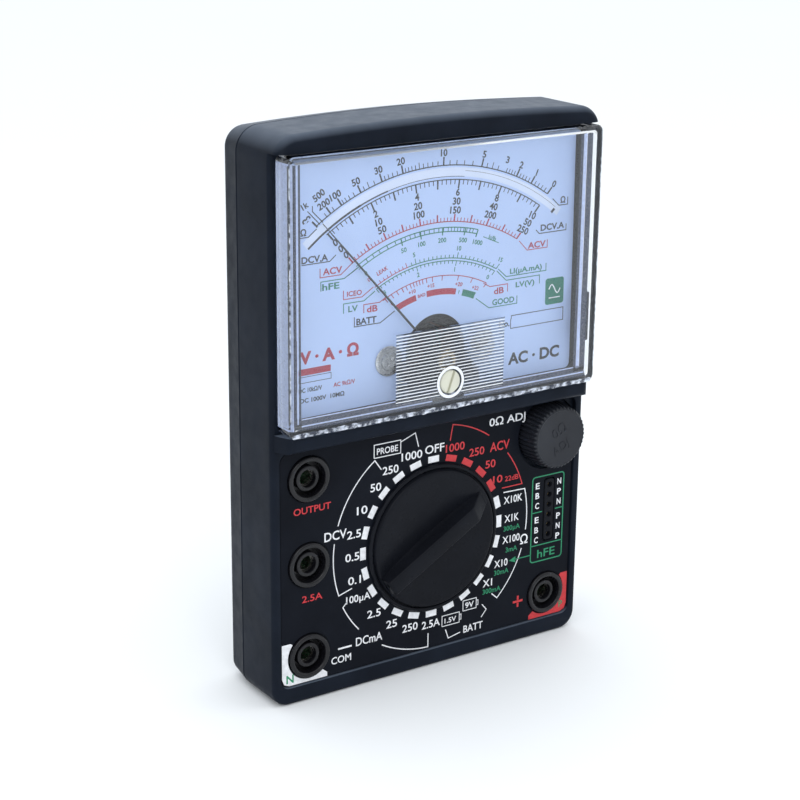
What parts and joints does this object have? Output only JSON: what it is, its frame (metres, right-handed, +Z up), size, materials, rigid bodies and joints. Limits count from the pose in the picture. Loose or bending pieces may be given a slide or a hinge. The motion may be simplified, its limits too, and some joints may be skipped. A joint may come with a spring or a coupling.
{
  "type": "analog multimeter",
  "caption": "Hand-held analog multimeter with a clear-covered needle meter over a rotary range selector, an ohm adjust knob, banana jacks, a transistor socket and a screwed-on back.",
  "frame": {"origin": "on the ground under the middle of the bounding box, with the meter standing on its bottom edge", "axes": "+X right and +Z up as seen by someone reading the dial, which faces -Y; the removable back faces +Y"},
  "size_m": [0.1, 0.0326, 0.15],
  "materials": {
    "aluminium": "plain",
    "battery_jacket": "printed jacket over a steel can",
    "board_green": "solder mask",
    "brass": "bright",
    "case_plastic": "satin moulded black plastic",
    "cell_jacket": "printed jacket over a steel can",
    "clear_plastic": "polished clear plastic",
    "copper": "enamelled copper wire",
    "cream_plastic": "matt moulded plastic",
    "dial_white": "matt paint with a printed scale",
    "fuse_glass": "clear",
    "knob_black": "satin black plastic",
    "magnet_black": "dark magnet alloy",
    "needle_black": "black painted",
    "nickel": "nickel plated",
    "panel_black": "satin black printed plate",
    "steel": "plated"
  },
  "bodies": {
    "housing": {"aa_cell_lower": "cell_jacket", "aa_cell_upper": "cell_jacket", "battery_tray": "case_plastic", "board_screw_lower": "steel", "board_screw_upper": "steel", "cell_link_plate": "nickel", "cell_terminal_plate": "nickel", "circuit_board": "board_green", "control_panel": "panel_black", "core_holder": "brass", "core_magnet": "magnet_black", "detent_ball": "steel", "detent_spring": "nickel", "dial_plate": "dial_white", "dial_screw_left": "steel", "dial_screw_right": "steel", "front_bridge": "brass", "front_case": "case_plastic", "front_hairspring": "brass", "front_jewel_screw": "nickel", "fuse": "fuse_glass", "fuse_clip_left": "brass", "fuse_clip_right": "brass", "jack_contact_amp": "nickel", "jack_contact_com": "nickel", "jack_contact_output": "nickel", "jack_contact_positive": "nickel", "jack_sleeve_amp": "knob_black", "jack_sleeve_com": "knob_black", "jack_sleeve_output": "knob_black", "jack_sleeve_positive": "knob_black", "meter_cover": "clear_plastic", "movement_frame": "case_plastic", "movement_screw_left": "steel", "movement_screw_right": "steel", "nine_volt_battery": "battery_jacket", "nine_volt_snap": "knob_black", "potentiometer_body": "nickel", "rear_bridge": "brass", "rear_hairspring": "brass", "rear_jewel_screw": "nickel", "transistor_socket": "knob_black", "yoke_ring": "steel"},
    "back": {"rear_case": "case_plastic", "rear_case_screw_top": "steel", "rear_case_screw_bottom": "steel"},
    "selector": {"selector_knob": "knob_black", "switch_rotor": "cream_plastic", "wiper_contact": "brass", "selector_screw": "steel"},
    "ohm_adjuster": {"ohm_adjust_knob": "knob_black", "potentiometer_shaft": "aluminium"},
    "needle": {"pointer": "needle_black", "balance_cross": "brass", "coil_former": "aluminium", "coil_winding": "copper", "front_pivot": "steel", "rear_pivot": "steel"},
    "zero_screw": {"zero_adjust_screw": "cream_plastic"},
    "zero_arm": {"zero_adjust_arm": "brass"}
  },
  "joints": [
    {"name": "selector_turn", "type": "hinge", "parent": "housing", "child": "selector", "pos_m": [0, -0.00915, 0.0375], "axis": [0, 1, 0], "continuous": true},
    {"name": "ohm_adjust_turn", "type": "hinge", "parent": "housing", "child": "ohm_adjuster", "pos_m": [0.0385, -0.00915, 0.0602], "axis": [0, 1, 0], "range_deg": [-140, 140]},
    {"name": "needle_swing", "type": "hinge", "parent": "housing", "child": "needle", "pos_m": [0, -0.00915, 0.088], "axis": [0, 1, 0], "range_deg": [-2, 87], "stiffness_Nm_per_rad": 0.00002},
    {"name": "zero_screw_turn", "type": "hinge", "parent": "housing", "child": "zero_screw", "pos_m": [0, -0.00915, 0.0829], "axis": [0, 1, 0], "range_deg": [-40, 40]},
    {"name": "zero_arm_turn", "type": "hinge", "parent": "housing", "child": "zero_arm", "pos_m": [0, -0.00915, 0.088], "axis": [0, 1, 0], "range_deg": [-8, 8]},
    {"name": "back_removal", "type": "slide", "parent": "housing", "child": "back", "axis": [0, 1, 0], "range_m": [0, 0.06]}
  ],
  "couplings": [
    {"joint": "zero_arm_turn", "follows": "zero_screw_turn", "ratio": 0.19}
  ]
}
